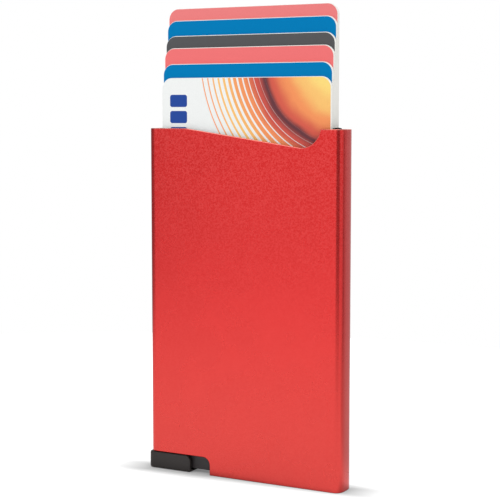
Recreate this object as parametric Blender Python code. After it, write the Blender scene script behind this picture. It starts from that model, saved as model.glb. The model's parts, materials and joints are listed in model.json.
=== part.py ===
"""Card holder: a flat aluminium tube for six cards, with a sliding lever that raises them in a fan.

Metres, +Z up. The front faces -Y and the lever is at the -X end. The tube stands on its lower rim at z = 0,
with its middle over the origin. The model is at rest: the lever is out, the ejector lies under the cards'
seat, and the six cards stand where the ejector leaves them when it has been raised and let go.
"""
import math

import bmesh
import bpy

MM = 0.001

# The ejector's arm under each card, front to back, as shares of the longest
ARM_LENGTH_SHARES = (0.475, 0.58, 0.70, 0.792, 0.908, 1.0)

# Cards, of bank card size
CARD_COUNT = len(ARM_LENGTH_SHARES)
CARD_WIDTH = 53.98 * MM
CARD_HEIGHT = 85.6 * MM
CARD_THICKNESS = 0.76 * MM
CARD_CORNER = 3.18 * MM
CARD_GAP = 0.04 * MM
CARD_SIDE_GAP = 0.21 * MM
CARD_FACE_GAP = 0.62 * MM

# Clearances
SEAT_GAP = 0.2 * MM
RUN_GAP = 0.3 * MM
PIN_GAP = 0.05 * MM
PARTING_GAP = 0.1 * MM

# How far a cutter runs past what it cuts
OVERRUN = 1.0 * MM

# Grip strips and side guides, in the tube's narrow sides
STRIP_THICKNESS = 0.75 * MM
RIGHT_STRIP_PROUD = 0.4 * MM
LEFT_STRIP_DROP = 0.3 * MM
STRIP_CROWN = 0.2 * MM
RIB_HEIGHT = 0.25 * MM
RIB_WIDTH = 1.2 * MM
RIB_PITCH = 4.0 * MM
GUIDE_THICKNESS = 1.75 * MM
GUIDE_DROP = 0.3 * MM

# Casing
WALL = 1.0 * MM
CASING_CORNER = 2.6 * MM
CASING_EDGE = 0.2 * MM
CARD_COVER = 3.7 * MM

# Thumb scoop in the front rim
SCOOP_INSET = 6.5 * MM
SCOOP_RADIUS = 6.0 * MM
SCOOP_DEPTH = 5.08 * MM
SCOOP_SLOPE = math.radians(8.0)
SCOOP_BLEND = 12.0 * MM

# Lever notch in the lower left corner
NOTCH_LENGTH = 20.35 * MM
NOTCH_HEIGHT = 5.15 * MM
NOTCH_CORNER = 2.2 * MM

# Base, in two halves
BASE_RECESS = 1.0 * MM
DECK_DROP = 0.1 * MM
DECK_THICKNESS = 0.75 * MM
RAIL_HALF_THICKNESS = 2.2 * MM
CAVITY_HALF_THICKNESS = 1.05 * MM
RAIL_END = 0.75 * MM
EAR_RADIUS = 2.05 * MM
LEFT_POST_WIDTH = 4.4 * MM
BASE_PIN_RADIUS = 0.8 * MM
BASE_PIN_INSETS = (26.0 * MM, 6.0 * MM)

# Lever
SHOE_PROUD = 0.5 * MM
SHOE_LIFT = 0.05 * MM
SHOE_TOP_GAP = 0.15 * MM
SHOE_FLOOR = 0.6 * MM
SHOE_END_WALL = 1.7 * MM
SHOE_CORNER = 1.5 * MM
SHOE_NOSE = 1.9 * MM
SHOE_EDGE = 0.5 * MM
SHOE_STOP = 1.06 * MM
SHOE_SIDE_GAP = 0.2 * MM
SHOE_RELIEF_WALL = 0.8 * MM
SHOE_RELIEF_LENGTH = 2.0 * MM
DRIVE_PIN_RADIUS = 0.7 * MM
DRIVE_PIN_HEIGHT = 3.6 * MM
DRIVE_PIN_GRIP = 0.9 * MM
PIN_SLOT_GAP = 0.15 * MM

# Ejector
EJECTOR_TURN = math.radians(60.0)
BLADE_HALF_HEIGHT = 2.05 * MM
BLADE_ROOT = 2.6 * MM
BLADE_END_GAP = 3.88 * MM
HUB_RADIUS = 1.95 * MM
PIVOT_PIN_RADIUS = 0.8 * MM
FORK_WALL = 0.8 * MM
FORK_SLOT_GAP = 0.2 * MM

# Return spring
SPRING_RADIUS = 0.7 * MM
SPRING_WIRE_RADIUS = 0.15 * MM
SPRING_LENGTH = 14.2 * MM
SPRING_TURNS = 9

# Facets
CORNER_STEPS = 8
CARD_CORNER_STEPS = 6
PIN_STEPS = 24
SPRING_STEPS = 8
SCOOP_STEPS = 14
SHARP_ANGLE = math.radians(30)

# Plan of the tube, worked out from the cards it holds
STRIP_FACE_X = CARD_WIDTH / 2 + CARD_SIDE_GAP
STRIP_BACK_X = STRIP_FACE_X + STRIP_THICKNESS
GUIDE_FACE_X = STRIP_BACK_X + PARTING_GAP
WELL_HALF_WIDTH = GUIDE_FACE_X + GUIDE_THICKNESS
INNER_HALF_WIDTH = WELL_HALF_WIDTH + SEAT_GAP
HALF_WIDTH = INNER_HALF_WIDTH + WALL
CARD_PITCH = CARD_THICKNESS + CARD_GAP
STACK_HALF = (CARD_COUNT * CARD_PITCH - CARD_GAP) / 2
INNER_HALF_DEPTH = STACK_HALF + CARD_FACE_GAP
HALF_DEPTH = INNER_HALF_DEPTH + WALL
WELL_HALF_DEPTH = INNER_HALF_DEPTH - SEAT_GAP
PIN_END_Y = WELL_HALF_DEPTH - SEAT_GAP
INNER_CORNER = CASING_CORNER - WALL
WELL_CORNER = INNER_CORNER - SEAT_GAP

# Heights, from the rim on the ground upwards
DECK_BOTTOM = NOTCH_HEIGHT + DECK_DROP
DECK_TOP = DECK_BOTTOM + DECK_THICKNESS
PIVOT_Z = DECK_TOP + RUN_GAP + BLADE_HALF_HEIGHT
BASE_TOP = PIVOT_Z + BLADE_HALF_HEIGHT
SEAT_Z = BASE_TOP + RUN_GAP
HEIGHT = SEAT_Z + CARD_HEIGHT + CARD_COVER
SHOE_TOP = NOTCH_HEIGHT - SHOE_TOP_GAP
SHOE_FLOOR_TOP = SHOE_LIFT + SHOE_FLOOR

# The lever's stroke, and what it sets along the tube
FORK_DROP = PIVOT_Z - DRIVE_PIN_HEIGHT
STROKE = 2 * FORK_DROP * math.tan(EJECTOR_TURN / 2)
PIN_SLOT_HALF = DRIVE_PIN_RADIUS + PIN_SLOT_GAP
SHOE_LEFT = -HALF_WIDTH - SHOE_PROUD
SHOE_INNER_LEFT = SHOE_LEFT + SHOE_END_WALL
NOTCH_RIGHT = -HALF_WIDTH + NOTCH_LENGTH
SHOE_RIGHT = NOTCH_RIGHT - SHOE_STOP - STROKE
RAIL_LEFT = SHOE_INNER_LEFT + STROKE + RUN_GAP
DRIVE_PIN_X = RAIL_LEFT + RAIL_END + PIN_SLOT_HALF
PIVOT_X = DRIVE_PIN_X + STROKE / 2
SHOE_INNER_HALF = RAIL_HALF_THICKNESS + SHOE_SIDE_GAP

# The ejector's arms and fork, measured from its pivot
LONGEST_ARM = INNER_HALF_WIDTH - BLADE_END_GAP - BLADE_HALF_HEIGHT - PIVOT_X
HUB_HALF_THICKNESS = CAVITY_HALF_THICKNESS - SEAT_GAP
FORK_SLOT_HALF = DRIVE_PIN_RADIUS + FORK_SLOT_GAP
FORK_HALF = FORK_SLOT_HALF + FORK_WALL
FORK_LENGTH = FORK_DROP / math.cos(EJECTOR_TURN / 2) + DRIVE_PIN_RADIUS + RUN_GAP
FORK_SLOT_START = FORK_DROP - DRIVE_PIN_RADIUS - RUN_GAP
FORK_REACH = FORK_LENGTH * math.sin(EJECTOR_TURN / 2) + FORK_HALF * math.cos(EJECTOR_TURN / 2) + RUN_GAP
SPRING_LEFT = DRIVE_PIN_X + FORK_HALF / math.cos(EJECTOR_TURN / 2) + SEAT_GAP
SPRING_STOP_X = SPRING_LEFT + SPRING_LENGTH + SEAT_GAP


def arm_length(card):
    """From the pivot to the middle of the round tip under this card."""
    return ARM_LENGTH_SHARES[card] * LONGEST_ARM


def card_lift(card):
    """How far the ejector raises this card from its seat."""
    return arm_length(card) * math.sin(EJECTOR_TURN)


def layer_y(card):
    """The front face of the ejector's layer under this card; card CARD_COUNT gives the last layer's back."""
    return -STACK_HALF - CARD_GAP / 2 + card * CARD_PITCH


def arc(centre, radius, start, end, steps):
    """Points on a round stretch, angles in degrees."""
    points = []
    for step in range(steps + 1):
        angle = math.radians(start + (end - start) * step / steps)
        points.append((centre[0] + radius * math.cos(angle), centre[1] + radius * math.sin(angle)))
    return points


def circle(centre, radius, steps):
    """A full round outline."""
    return arc(centre, radius, 0, 360, steps)[:-1]


def rectangle(low, high):
    """An outline with square corners, between two opposite ones."""
    return [low, (high[0], low[1]), high, (low[0], high[1])]


def rounded_rectangle(half_width, half_height, radius, steps):
    """An outline with round corners, about the origin."""
    x, y = half_width - radius, half_height - radius
    corners = (((x, -y), -90), ((x, y), 0), ((-x, y), 90), ((-x, -y), 180))
    points = []
    for centre, start in corners:
        points += arc(centre, radius, start, start + 90, steps)
    return points


def finish(name, colour, roughness, metallic):
    """A plain material of this colour."""
    material = bpy.data.materials.new(name)
    material.use_nodes = True
    shader = material.node_tree.nodes["Principled BSDF"]
    shader.inputs["Base Color"].default_value = (*colour, 1.0)
    shader.inputs["Roughness"].default_value = roughness
    shader.inputs["Metallic"].default_value = metallic
    return material


def add_object(name, data, material, place):
    """Puts a mesh or curve in the scene, under the holder."""
    if material:
        data.materials.append(material)
    item = bpy.data.objects.new(name, data)
    item.location = place
    item.parent = bpy.data.objects["card_holder"]
    bpy.context.scene.collection.objects.link(item)
    return item


def add_mesh(name, bm, material=None, place=(0, 0, 0)):
    """Turns a bmesh into an object with its faces pointing out."""
    bmesh.ops.recalc_face_normals(bm, faces=bm.faces)
    mesh = bpy.data.meshes.new(name)
    bm.to_mesh(mesh)
    bm.free()
    return add_object(name, mesh, material, place)


def shade_round(item):
    """Shades a piece smooth but for its edges."""
    item.data.shade_smooth()
    item.data.set_sharp_from_angle(angle=SHARP_ANGLE)
    return item


def prism(name, outline, axis, low, high, material=None, place=(0, 0, 0)):
    """A closed outline pushed along an axis. It holds (x, z) for Y, (x, y) for Z and (y, z) for X."""
    spread = {"X": lambda a, b, t: (t, a, b), "Y": lambda a, b, t: (a, t, b), "Z": lambda a, b, t: (a, b, t)}
    bm = bmesh.new()
    rings = [[bm.verts.new(spread[axis](a, b, t)) for a, b in outline] for t in (low, high)]
    for ring in rings:
        bm.faces.new(ring)
    for near, far in zip(range(-1, len(outline) - 1), range(len(outline))):
        bm.faces.new((rings[0][near], rings[0][far], rings[1][far], rings[1][near]))
    return add_mesh(name, bm, material, place)


def as_tool(item):
    """Marks an object as a cutter or a guide for the pieces, not a piece."""
    item.hide_render = True
    item.display_type = "WIRE"
    return item


def combine(item, operation, tool):
    """Joins, cuts or trims a piece by a tool, with a live Boolean."""
    modifier = item.modifiers.new(tool.name, "BOOLEAN")
    modifier.operation = operation
    modifier.solver = "EXACT"
    modifier.object = as_tool(tool)


def pin(name, x, z, radius, front, back, material):
    """A round steel pin that lies front to back."""
    outline = circle((0, 0), radius, PIN_STEPS)
    return shade_round(prism(name, outline, "Y", front, back, material, (x, 0, z)))


def pin_hole(item, name, x, z, radius, low, high, place=(0, 0, 0)):
    """Bores a running hole for a pin, front to back."""
    bore = circle((x, z), radius + PIN_GAP, PIN_STEPS)
    combine(item, "DIFFERENCE", prism(name, bore, "Y", low, high, place=place))


def casing_tube(material):
    """The extruded tube, whose wall section runs once round the plan, with broken edges at both rims."""
    section = ((0.0, CASING_EDGE), (0.0, HEIGHT - CASING_EDGE), (CASING_EDGE, HEIGHT),
               (WALL - CASING_EDGE, HEIGHT), (WALL, HEIGHT - CASING_EDGE), (WALL, CASING_EDGE),
               (WALL - CASING_EDGE, 0.0), (CASING_EDGE, 0.0))
    bm = bmesh.new()
    rings = []
    for inset, z in section:
        plan = rounded_rectangle(HALF_WIDTH - inset, HALF_DEPTH - inset, CASING_CORNER - inset, CORNER_STEPS)
        rings.append([bm.verts.new((x, y, z)) for x, y in plan])
    for ring, following in zip(rings, rings[1:] + rings[:1]):
        for k in range(-1, len(ring) - 1):
            face = bm.faces.new((ring[k], ring[k + 1], following[k + 1], following[k]))
            on_a_corner = (k + 1) % (CORNER_STEPS + 1) > 0
            face.smooth = on_a_corner
    return add_mesh("casing", bm, material)


def scoop_outline():
    """The scoop seen from the front: a short blend off the rim, a straight slope and a round end."""
    centre = (HALF_WIDTH - SCOOP_INSET - SCOOP_RADIUS, HEIGHT - SCOOP_DEPTH + SCOOP_RADIUS)
    slope = math.degrees(SCOOP_SLOPE)
    turned = centre[1] - SCOOP_RADIUS * math.cos(SCOOP_SLOPE)
    blend_drop = SCOOP_BLEND * (1 - math.cos(SCOOP_SLOPE))
    slope_run = (HEIGHT - blend_drop - turned) / math.tan(SCOOP_SLOPE)
    blend_x = centre[0] - (SCOOP_RADIUS + SCOOP_BLEND) * math.sin(SCOOP_SLOPE) - slope_run
    blend = arc((blend_x, HEIGHT - SCOOP_BLEND), SCOOP_BLEND, 90, 90 - slope, CORNER_STEPS)
    end = arc(centre, SCOOP_RADIUS, 270 - slope, 360, SCOOP_STEPS)
    top = HEIGHT + OVERRUN
    return blend + end + [(end[-1][0], top), (blend_x, top)]


def notch_outline():
    """The lever's notch seen from the front, open at the left and below."""
    centre = (NOTCH_RIGHT - NOTCH_CORNER, NOTCH_HEIGHT - NOTCH_CORNER)
    left = -HALF_WIDTH - OVERRUN
    corner = arc(centre, NOTCH_CORNER, 0, 90, CORNER_STEPS)
    return [(left, -OVERRUN), (NOTCH_RIGHT, -OVERRUN)] + corner + [(left, NOTCH_HEIGHT)]


def build_casing(material):
    """The tube with its scoop in the front wall and its notch through the lower left corner."""
    casing = casing_tube(material)
    front = -HALF_DEPTH - OVERRUN
    combine(casing, "DIFFERENCE", prism("scoop_cutter", scoop_outline(), "Y", front, 0))
    combine(casing, "DIFFERENCE", prism("notch_cutter", notch_outline(), "Y", front, -front))


def build_side(side, name, guide_finish, strip_finish):
    """The guide that fills one narrow side of the tube, and the ribbed grip strip on its inner face."""
    corner_x = side * (WELL_HALF_WIDTH - WELL_CORNER)
    corner_y = WELL_HALF_DEPTH - WELL_CORNER
    middle = 90 - side * 90
    low = arc((corner_x, -corner_y), WELL_CORNER, 270, 270 + side * 90, CORNER_STEPS)
    high = arc((corner_x, corner_y), WELL_CORNER, middle, 90, CORNER_STEPS)
    face = side * GUIDE_FACE_X
    plan = [(face, -WELL_HALF_DEPTH)] + low + high + [(face, WELL_HALF_DEPTH)]
    bottom = BASE_TOP + SEAT_GAP
    prism("side_guide_" + name, plan, "Z", bottom, HEIGHT - GUIDE_DROP, guide_finish)

    top = HEIGHT + RIGHT_STRIP_PROUD if side > 0 else HEIGHT - LEFT_STRIP_DROP
    back, crest, floor = (side * x for x in (STRIP_BACK_X, STRIP_FACE_X, STRIP_FACE_X + RIB_HEIGHT))
    outline = [(back, top), (back, bottom), (floor, bottom)]
    for rib in range(int((top - bottom) / RIB_PITCH)):
        z = bottom + (rib + 1) * RIB_PITCH - RIB_WIDTH
        outline += [(floor, z - RIB_WIDTH / 2), (crest, z), (floor, z + RIB_WIDTH / 2)]
    outline.append((floor, top))
    strip = prism("grip_strip_" + name, outline, "Y", -STACK_HALF, STACK_HALF, strip_finish)

    crown_radius = (STACK_HALF ** 2 + STRIP_CROWN ** 2) / (2 * STRIP_CROWN)
    half = STACK_HALF + OVERRUN
    spread = math.degrees(math.asin(half / crown_radius))
    crown = arc((0, top - crown_radius), crown_radius, 90 - spread, 90 + spread, 2 * CORNER_STEPS)
    end_view = [(-half, bottom - OVERRUN), (half, bottom - OVERRUN)] + crown
    inner, outer = min(crest, back) - OVERRUN, max(crest, back) + OVERRUN
    combine(strip, "INTERSECT", prism("strip_trim_" + name, end_view, "X", inner, outer))


def build_base_half(side, name, material):
    """One half of the base: rail, deck, body, pivot ear, left post and stepped card rests."""
    outer = side * (WELL_HALF_DEPTH + OVERRUN)
    far = WELL_HALF_WIDTH + OVERRUN
    cavity = side * CAVITY_HALF_THICKNESS

    def block(label, x_range, y_range, z_range):
        """A block of this half, between two of its own values each way."""
        low, high = (min(y_range), max(y_range))
        outline = rectangle((x_range[0], z_range[0]), (x_range[1], z_range[1]))
        return prism(f"{name}_{label}", outline, "Y", low, high)

    deck = rectangle((-far, DECK_BOTTOM), (far, DECK_TOP))
    half = prism(name, deck, "Y", min(0, outer), max(0, outer), material)
    body_left = NOTCH_RIGHT + RUN_GAP
    deck_middle = (DECK_BOTTOM + DECK_TOP) / 2
    rail_y = (0, side * RAIL_HALF_THICKNESS)
    combine(half, "UNION", block("body", (body_left, far), (0, outer), (BASE_RECESS, deck_middle)))
    rail_right = body_left + OVERRUN
    combine(half, "UNION", block("rail", (RAIL_LEFT, rail_right), rail_y, (BASE_RECESS, deck_middle)))
    post_right = -WELL_HALF_WIDTH + LEFT_POST_WIDTH
    combine(half, "UNION", block("post", (-far, post_right), (0, outer), (deck_middle, BASE_TOP)))

    ear = arc((PIVOT_X, PIVOT_Z), EAR_RADIUS, 0, 180, 2 * CORNER_STEPS)
    ear += [(PIVOT_X - EAR_RADIUS, deck_middle), (PIVOT_X + EAR_RADIUS, deck_middle)]
    combine(half, "UNION", prism(name + "_ear", ear, "Y", min(cavity, outer), max(cavity, outer)))

    middle_card = CARD_COUNT // 2
    own_cards = range(middle_card) if side < 0 else range(middle_card, CARD_COUNT)
    for card in own_cards:
        left = PIVOT_X + arm_length(card) + BLADE_HALF_HEIGHT + RUN_GAP
        front = outer if side < 0 else 0
        back = outer if card == CARD_COUNT - 1 else layer_y(card + 1) - RUN_GAP
        combine(half, "UNION", block(f"rest_{card + 1}", (left, far), (front, back), (deck_middle, BASE_TOP)))

    well = (-far, PIVOT_X + FORK_REACH)
    combine(half, "DIFFERENCE", block("fork_well", well, (-cavity, cavity), (0, DECK_BOTTOM)))
    deck_slot = (PIVOT_Z - DECK_BOTTOM) * math.tan(EJECTOR_TURN / 2) + FORK_HALF / math.cos(EJECTOR_TURN / 2)
    slot = (PIVOT_X - deck_slot - RUN_GAP, PIVOT_X + deck_slot + RUN_GAP)
    slot_z = (DECK_BOTTOM - OVERRUN, DECK_TOP + OVERRUN)
    combine(half, "DIFFERENCE", block("fork_slot", slot, (-cavity, cavity), slot_z))
    channel_half = SPRING_RADIUS + SPRING_WIRE_RADIUS + SEAT_GAP
    channel_z = (DRIVE_PIN_HEIGHT - channel_half, DRIVE_PIN_HEIGHT + channel_half)
    channel = (PIVOT_X, SPRING_STOP_X)
    combine(half, "DIFFERENCE", block("spring_channel", channel, (-cavity, cavity), channel_z))
    if side > 0:
        slot_left = arc((DRIVE_PIN_X, DRIVE_PIN_HEIGHT), PIN_SLOT_HALF, 90, 270, CORNER_STEPS)
        slot_right = arc((DRIVE_PIN_X + STROKE, DRIVE_PIN_HEIGHT), PIN_SLOT_HALF, -90, 90, CORNER_STEPS)
        combine(half, "DIFFERENCE", prism(name + "_pin_slot", slot_left + slot_right, "Y", 0, far))

    pin_hole(half, name + "_pivot_bore", PIVOT_X, PIVOT_Z, PIVOT_PIN_RADIUS, -far, far)
    for number, x in enumerate(base_pin_places(), 1):
        pin_hole(half, f"{name}_dowel_bore_{number}", x, base_pin_height(), BASE_PIN_RADIUS, -far, far)

    combine(half, "INTERSECT", prism(name + "_trim", well_half(side), "Z", 0, BASE_TOP + OVERRUN))


def well_half(side):
    """One half of the tube's inside in plan, clear of its walls, with a straight parting line."""
    x, y = WELL_HALF_WIDTH - WELL_CORNER, side * (WELL_HALF_DEPTH - WELL_CORNER)
    start = 90 - side * 90
    first = arc((side * x, y), WELL_CORNER, start, start + 90, CORNER_STEPS)
    second = arc((-side * x, y), WELL_CORNER, start + 90, start + 180, CORNER_STEPS)
    parting = side * PARTING_GAP / 2
    return first + second + [(-side * WELL_HALF_WIDTH, parting), (side * WELL_HALF_WIDTH, parting)]


def base_pin_places():
    """Where the dowels cross the base."""
    return [INNER_HALF_WIDTH - inset for inset in BASE_PIN_INSETS]


def base_pin_height():
    """The dowels lie half way up the base's body."""
    return (BASE_RECESS + DECK_TOP) / 2


def build_lever(shoe_finish, pin_finish):
    """The lever: a shoe that wraps the base's rail, and the drive pin that its back wall holds."""
    left, right = SHOE_LEFT - DRIVE_PIN_X, SHOE_RIGHT - DRIVE_PIN_X
    place = (DRIVE_PIN_X, 0, DRIVE_PIN_HEIGHT)
    low, top = SHOE_LIFT - DRIVE_PIN_HEIGHT, SHOE_TOP - DRIVE_PIN_HEIGHT
    floor = SHOE_FLOOR_TOP - DRIVE_PIN_HEIGHT
    corner = (left + SHOE_CORNER, HALF_DEPTH - SHOE_CORNER)
    plan = arc(corner, SHOE_CORNER, 90, 180, CORNER_STEPS)
    plan += arc((corner[0], -corner[1]), SHOE_CORNER, 180, 270, CORNER_STEPS)
    plan += [(right, -HALF_DEPTH), (right, HALF_DEPTH)]
    shoe = prism("lever_shoe", plan, "Z", low, top, shoe_finish, place)
    nose = arc((right - SHOE_NOSE, top - SHOE_NOSE), SHOE_NOSE, 0, 90, CORNER_STEPS)
    front_view = [(left - OVERRUN, low - OVERRUN), (right, low - OVERRUN)] + nose + [(left - OVERRUN, top)]
    wide = HALF_DEPTH + OVERRUN
    combine(shoe, "INTERSECT", prism("shoe_front_view", front_view, "Y", -wide, wide, place=place))
    bevel = shoe.modifiers.new("soft_edges", "BEVEL")
    bevel.width = SHOE_EDGE
    bevel.segments = 2
    bevel.limit_method = "ANGLE"

    inner = SHOE_INNER_LEFT - DRIVE_PIN_X
    hollow = rectangle((inner, -SHOE_INNER_HALF), (right + OVERRUN, SHOE_INNER_HALF))
    combine(shoe, "DIFFERENCE", prism("shoe_hollow", hollow, "Z", floor, top + OVERRUN, place=place))
    relief_half = HALF_DEPTH - SHOE_RELIEF_WALL
    relief = rectangle((right - SHOE_RELIEF_LENGTH, -relief_half), (right + OVERRUN, relief_half))
    combine(shoe, "DIFFERENCE", prism("shoe_relief", relief, "Z", floor, top + OVERRUN, place=place))
    reach = SHOE_INNER_HALF + DRIVE_PIN_GRIP
    pin_hole(shoe, "shoe_pin_bore", 0, 0, DRIVE_PIN_RADIUS, 0, reach, place)
    front, back = -HUB_HALF_THICKNESS, reach - PIN_GAP
    pin("drive_pin", DRIVE_PIN_X, DRIVE_PIN_HEIGHT, DRIVE_PIN_RADIUS, front, back, pin_finish)


def build_ejector(material, pin_finish):
    """The stair-stepped ejector: one arm for each card, each longer than the one before, and a fork."""
    place = (PIVOT_X, 0, PIVOT_Z)
    back = layer_y(CARD_COUNT)
    layers = []
    for card in range(CARD_COUNT):
        tip = arc((arm_length(card), 0), BLADE_HALF_HEIGHT, -90, 90, 2 * CARD_CORNER_STEPS)
        outline = [(BLADE_ROOT, BLADE_HALF_HEIGHT), (BLADE_ROOT, -BLADE_HALF_HEIGHT)] + tip
        name = "ejector" if card == 0 else f"ejector_arm_{card + 1}"
        layers.append(prism(name, outline, "Y", layer_y(card), back, material if card == 0 else None, place))
    ejector = layers[0]
    for layer in layers[1:]:
        combine(ejector, "UNION", layer)

    hub = arc((0, 0), HUB_RADIUS, 90, 270, 2 * CARD_CORNER_STEPS)
    hub += [(BLADE_ROOT + OVERRUN, -HUB_RADIUS), (BLADE_ROOT + OVERRUN, HUB_RADIUS)]
    half = HUB_HALF_THICKNESS
    combine(ejector, "UNION", prism("ejector_hub", hub, "Y", -half, half, place=place))

    fork = turned(rectangle((-FORK_HALF, -FORK_LENGTH), (FORK_HALF, 0)))
    combine(ejector, "UNION", prism("ejector_fork", fork, "Y", -half, half, place=place))
    slot_end = -FORK_LENGTH - OVERRUN
    slot = turned(rectangle((-FORK_SLOT_HALF, slot_end), (FORK_SLOT_HALF, -FORK_SLOT_START)))
    reach = half + OVERRUN
    combine(ejector, "DIFFERENCE", prism("ejector_fork_slot", slot, "Y", -reach, reach, place=place))
    pin_hole(ejector, "ejector_bore", 0, 0, PIVOT_PIN_RADIUS, -reach, reach, place)
    pin("pivot_pin", PIVOT_X, PIVOT_Z, PIVOT_PIN_RADIUS, -PIN_END_Y, PIN_END_Y, pin_finish)


def turned(outline):
    """Swings an outline about the pivot to where the fork points at rest, back towards the lever's end."""
    angle = -EJECTOR_TURN / 2
    cos, sin = math.cos(angle), math.sin(angle)
    return [(x * cos - z * sin, x * sin + z * cos) for x, z in outline]


def build_spring(material):
    """The compression spring, a helix along X between the fork and the end of its channel."""
    curve = bpy.data.curves.new("return_spring", "CURVE")
    curve.dimensions = "3D"
    curve.bevel_depth = SPRING_WIRE_RADIUS
    curve.bevel_resolution = 1
    curve.use_fill_caps = True
    count = SPRING_TURNS * SPRING_STEPS + 1
    spline = curve.splines.new("POLY")
    spline.points.add(count - 1)
    run = SPRING_LENGTH - 2 * SPRING_WIRE_RADIUS
    for number, point in enumerate(spline.points):
        angle = 2 * math.pi * number / SPRING_STEPS
        x = SPRING_WIRE_RADIUS + run * number / (count - 1)
        point.co = (x, SPRING_RADIUS * math.cos(angle), SPRING_RADIUS * math.sin(angle), 1.0)
    add_object("return_spring", curve, material, (SPRING_LEFT, 0, DRIVE_PIN_HEIGHT))


def build_cards(finishes):
    """Six equal cards, one behind the other, each at the height that its arm gives it."""
    outline = rounded_rectangle(CARD_WIDTH / 2, CARD_HEIGHT / 2, CARD_CORNER, CARD_CORNER_STEPS)
    for card, card_finish in enumerate(finishes):
        front = -STACK_HALF + card * CARD_PITCH
        place = (0, front, SEAT_Z + card_lift(card) + CARD_HEIGHT / 2)
        shade_round(prism(f"card_{card + 1}", outline, "Y", 0, CARD_THICKNESS, card_finish, place))


def clear_scene():
    """Removes whatever the scene holds."""
    for item in list(bpy.data.objects):
        bpy.data.objects.remove(item, do_unlink=True)


def main():
    """Builds the holder and its cards."""
    clear_scene()
    holder = bpy.data.objects.new("card_holder", None)
    bpy.context.scene.collection.objects.link(holder)

    anodised = finish("red_anodised_aluminium", (0.62, 0.04, 0.035), 0.45, 0.85)
    black = finish("black_plastic", (0.035, 0.032, 0.03), 0.5, 0.0)
    grey = finish("dark_grey_plastic", (0.06, 0.055, 0.052), 0.55, 0.0)
    elastomer = finish("black_elastomer", (0.02, 0.02, 0.02), 0.8, 0.0)
    steel = finish("steel", (0.55, 0.55, 0.56), 0.3, 1.0)
    spring_steel = finish("spring_steel", (0.4, 0.4, 0.42), 0.35, 1.0)
    warm_print, blue = (0.9, 0.62, 0.3), (0.004, 0.2, 0.5)
    pink, charcoal = (0.86, 0.22, 0.23), (0.1, 0.1, 0.105)
    card_colours = (warm_print, blue, pink, charcoal, blue, pink)
    cards = [finish(f"card_{n}", colour, 0.35, 0.0) for n, colour in enumerate(card_colours, 1)]

    build_casing(anodised)
    build_side(-1, "left", grey, elastomer)
    build_side(1, "right", grey, elastomer)
    build_base_half(-1, "base_front", grey)
    build_base_half(1, "base_back", grey)
    for number, x in enumerate(base_pin_places(), 1):
        pin(f"base_pin_{number}", x, base_pin_height(), BASE_PIN_RADIUS, -PIN_END_Y, PIN_END_Y, steel)
    build_lever(black, steel)
    build_ejector(grey, steel)
    build_spring(spring_steel)
    build_cards(cards)


if __name__ == "__main__":
    main()
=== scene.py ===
"""The card holder's looks: every piece's finish, its finer shapes, the floor, the lamps and the camera.

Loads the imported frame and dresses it. Metres, +Z up, with the front towards -Y, as in the frame.
"""
from __future__ import annotations

import json
import logging
import math
from collections.abc import Sequence
from dataclasses import dataclass, field
from enum import Enum
from functools import partialmethod

import bmesh
import bpy
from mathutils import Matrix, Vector

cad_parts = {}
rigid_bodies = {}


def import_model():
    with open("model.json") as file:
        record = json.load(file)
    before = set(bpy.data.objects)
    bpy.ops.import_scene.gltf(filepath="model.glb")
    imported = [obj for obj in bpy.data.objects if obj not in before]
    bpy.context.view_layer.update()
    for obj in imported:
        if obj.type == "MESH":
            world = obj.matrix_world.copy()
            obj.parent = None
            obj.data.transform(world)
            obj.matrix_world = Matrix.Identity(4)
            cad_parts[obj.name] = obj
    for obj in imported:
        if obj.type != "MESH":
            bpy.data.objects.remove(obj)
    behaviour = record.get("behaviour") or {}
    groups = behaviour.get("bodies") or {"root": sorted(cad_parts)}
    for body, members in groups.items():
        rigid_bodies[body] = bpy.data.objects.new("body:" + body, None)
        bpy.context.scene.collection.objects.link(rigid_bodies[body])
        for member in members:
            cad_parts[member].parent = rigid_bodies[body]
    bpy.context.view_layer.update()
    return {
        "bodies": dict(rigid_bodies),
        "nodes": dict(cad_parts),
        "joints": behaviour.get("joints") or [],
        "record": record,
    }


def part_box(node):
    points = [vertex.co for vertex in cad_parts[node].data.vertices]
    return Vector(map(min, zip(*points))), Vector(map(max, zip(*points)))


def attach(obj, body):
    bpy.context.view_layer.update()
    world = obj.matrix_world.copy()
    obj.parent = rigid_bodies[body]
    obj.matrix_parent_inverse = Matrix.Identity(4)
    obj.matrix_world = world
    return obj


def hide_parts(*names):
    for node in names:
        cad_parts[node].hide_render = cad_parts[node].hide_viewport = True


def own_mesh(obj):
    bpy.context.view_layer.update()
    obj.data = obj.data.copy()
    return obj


LOG = logging.getLogger("card_holder")

MM = 0.001
Rgb = tuple[float, float, float]
Pair = tuple[float, float]
Place = tuple[float, float, float]
Socket = bpy.types.NodeSocket
Source = Socket | float | int | tuple

MERGE_DISTANCE = 0.002 * MM
HALF = 0.5
WHITE: Rgb = (1.0, 1.0, 1.0)
BROKEN_FROM = math.radians(35)
FLAT_WITHIN = math.radians(1)


class Body(Enum):
    """The frame's bodies that pieces ride on."""

    HOLDER = "holder"
    LEVER = "lever"
    EJECTOR = "ejector"


class Slot(Enum):
    """The record's material slots."""

    ANODISED = "anodised_red"
    BASE = "base_grey"
    LEVER = "lever_black"
    ELASTOMER = "elastomer_black"
    PIN = "pin_steel"
    SPRING = "spring_steel"
    PRINT = "card_print"
    PINK = "card_pink"
    CHARCOAL = "card_charcoal"
    BLUE = "card_blue"


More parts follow.
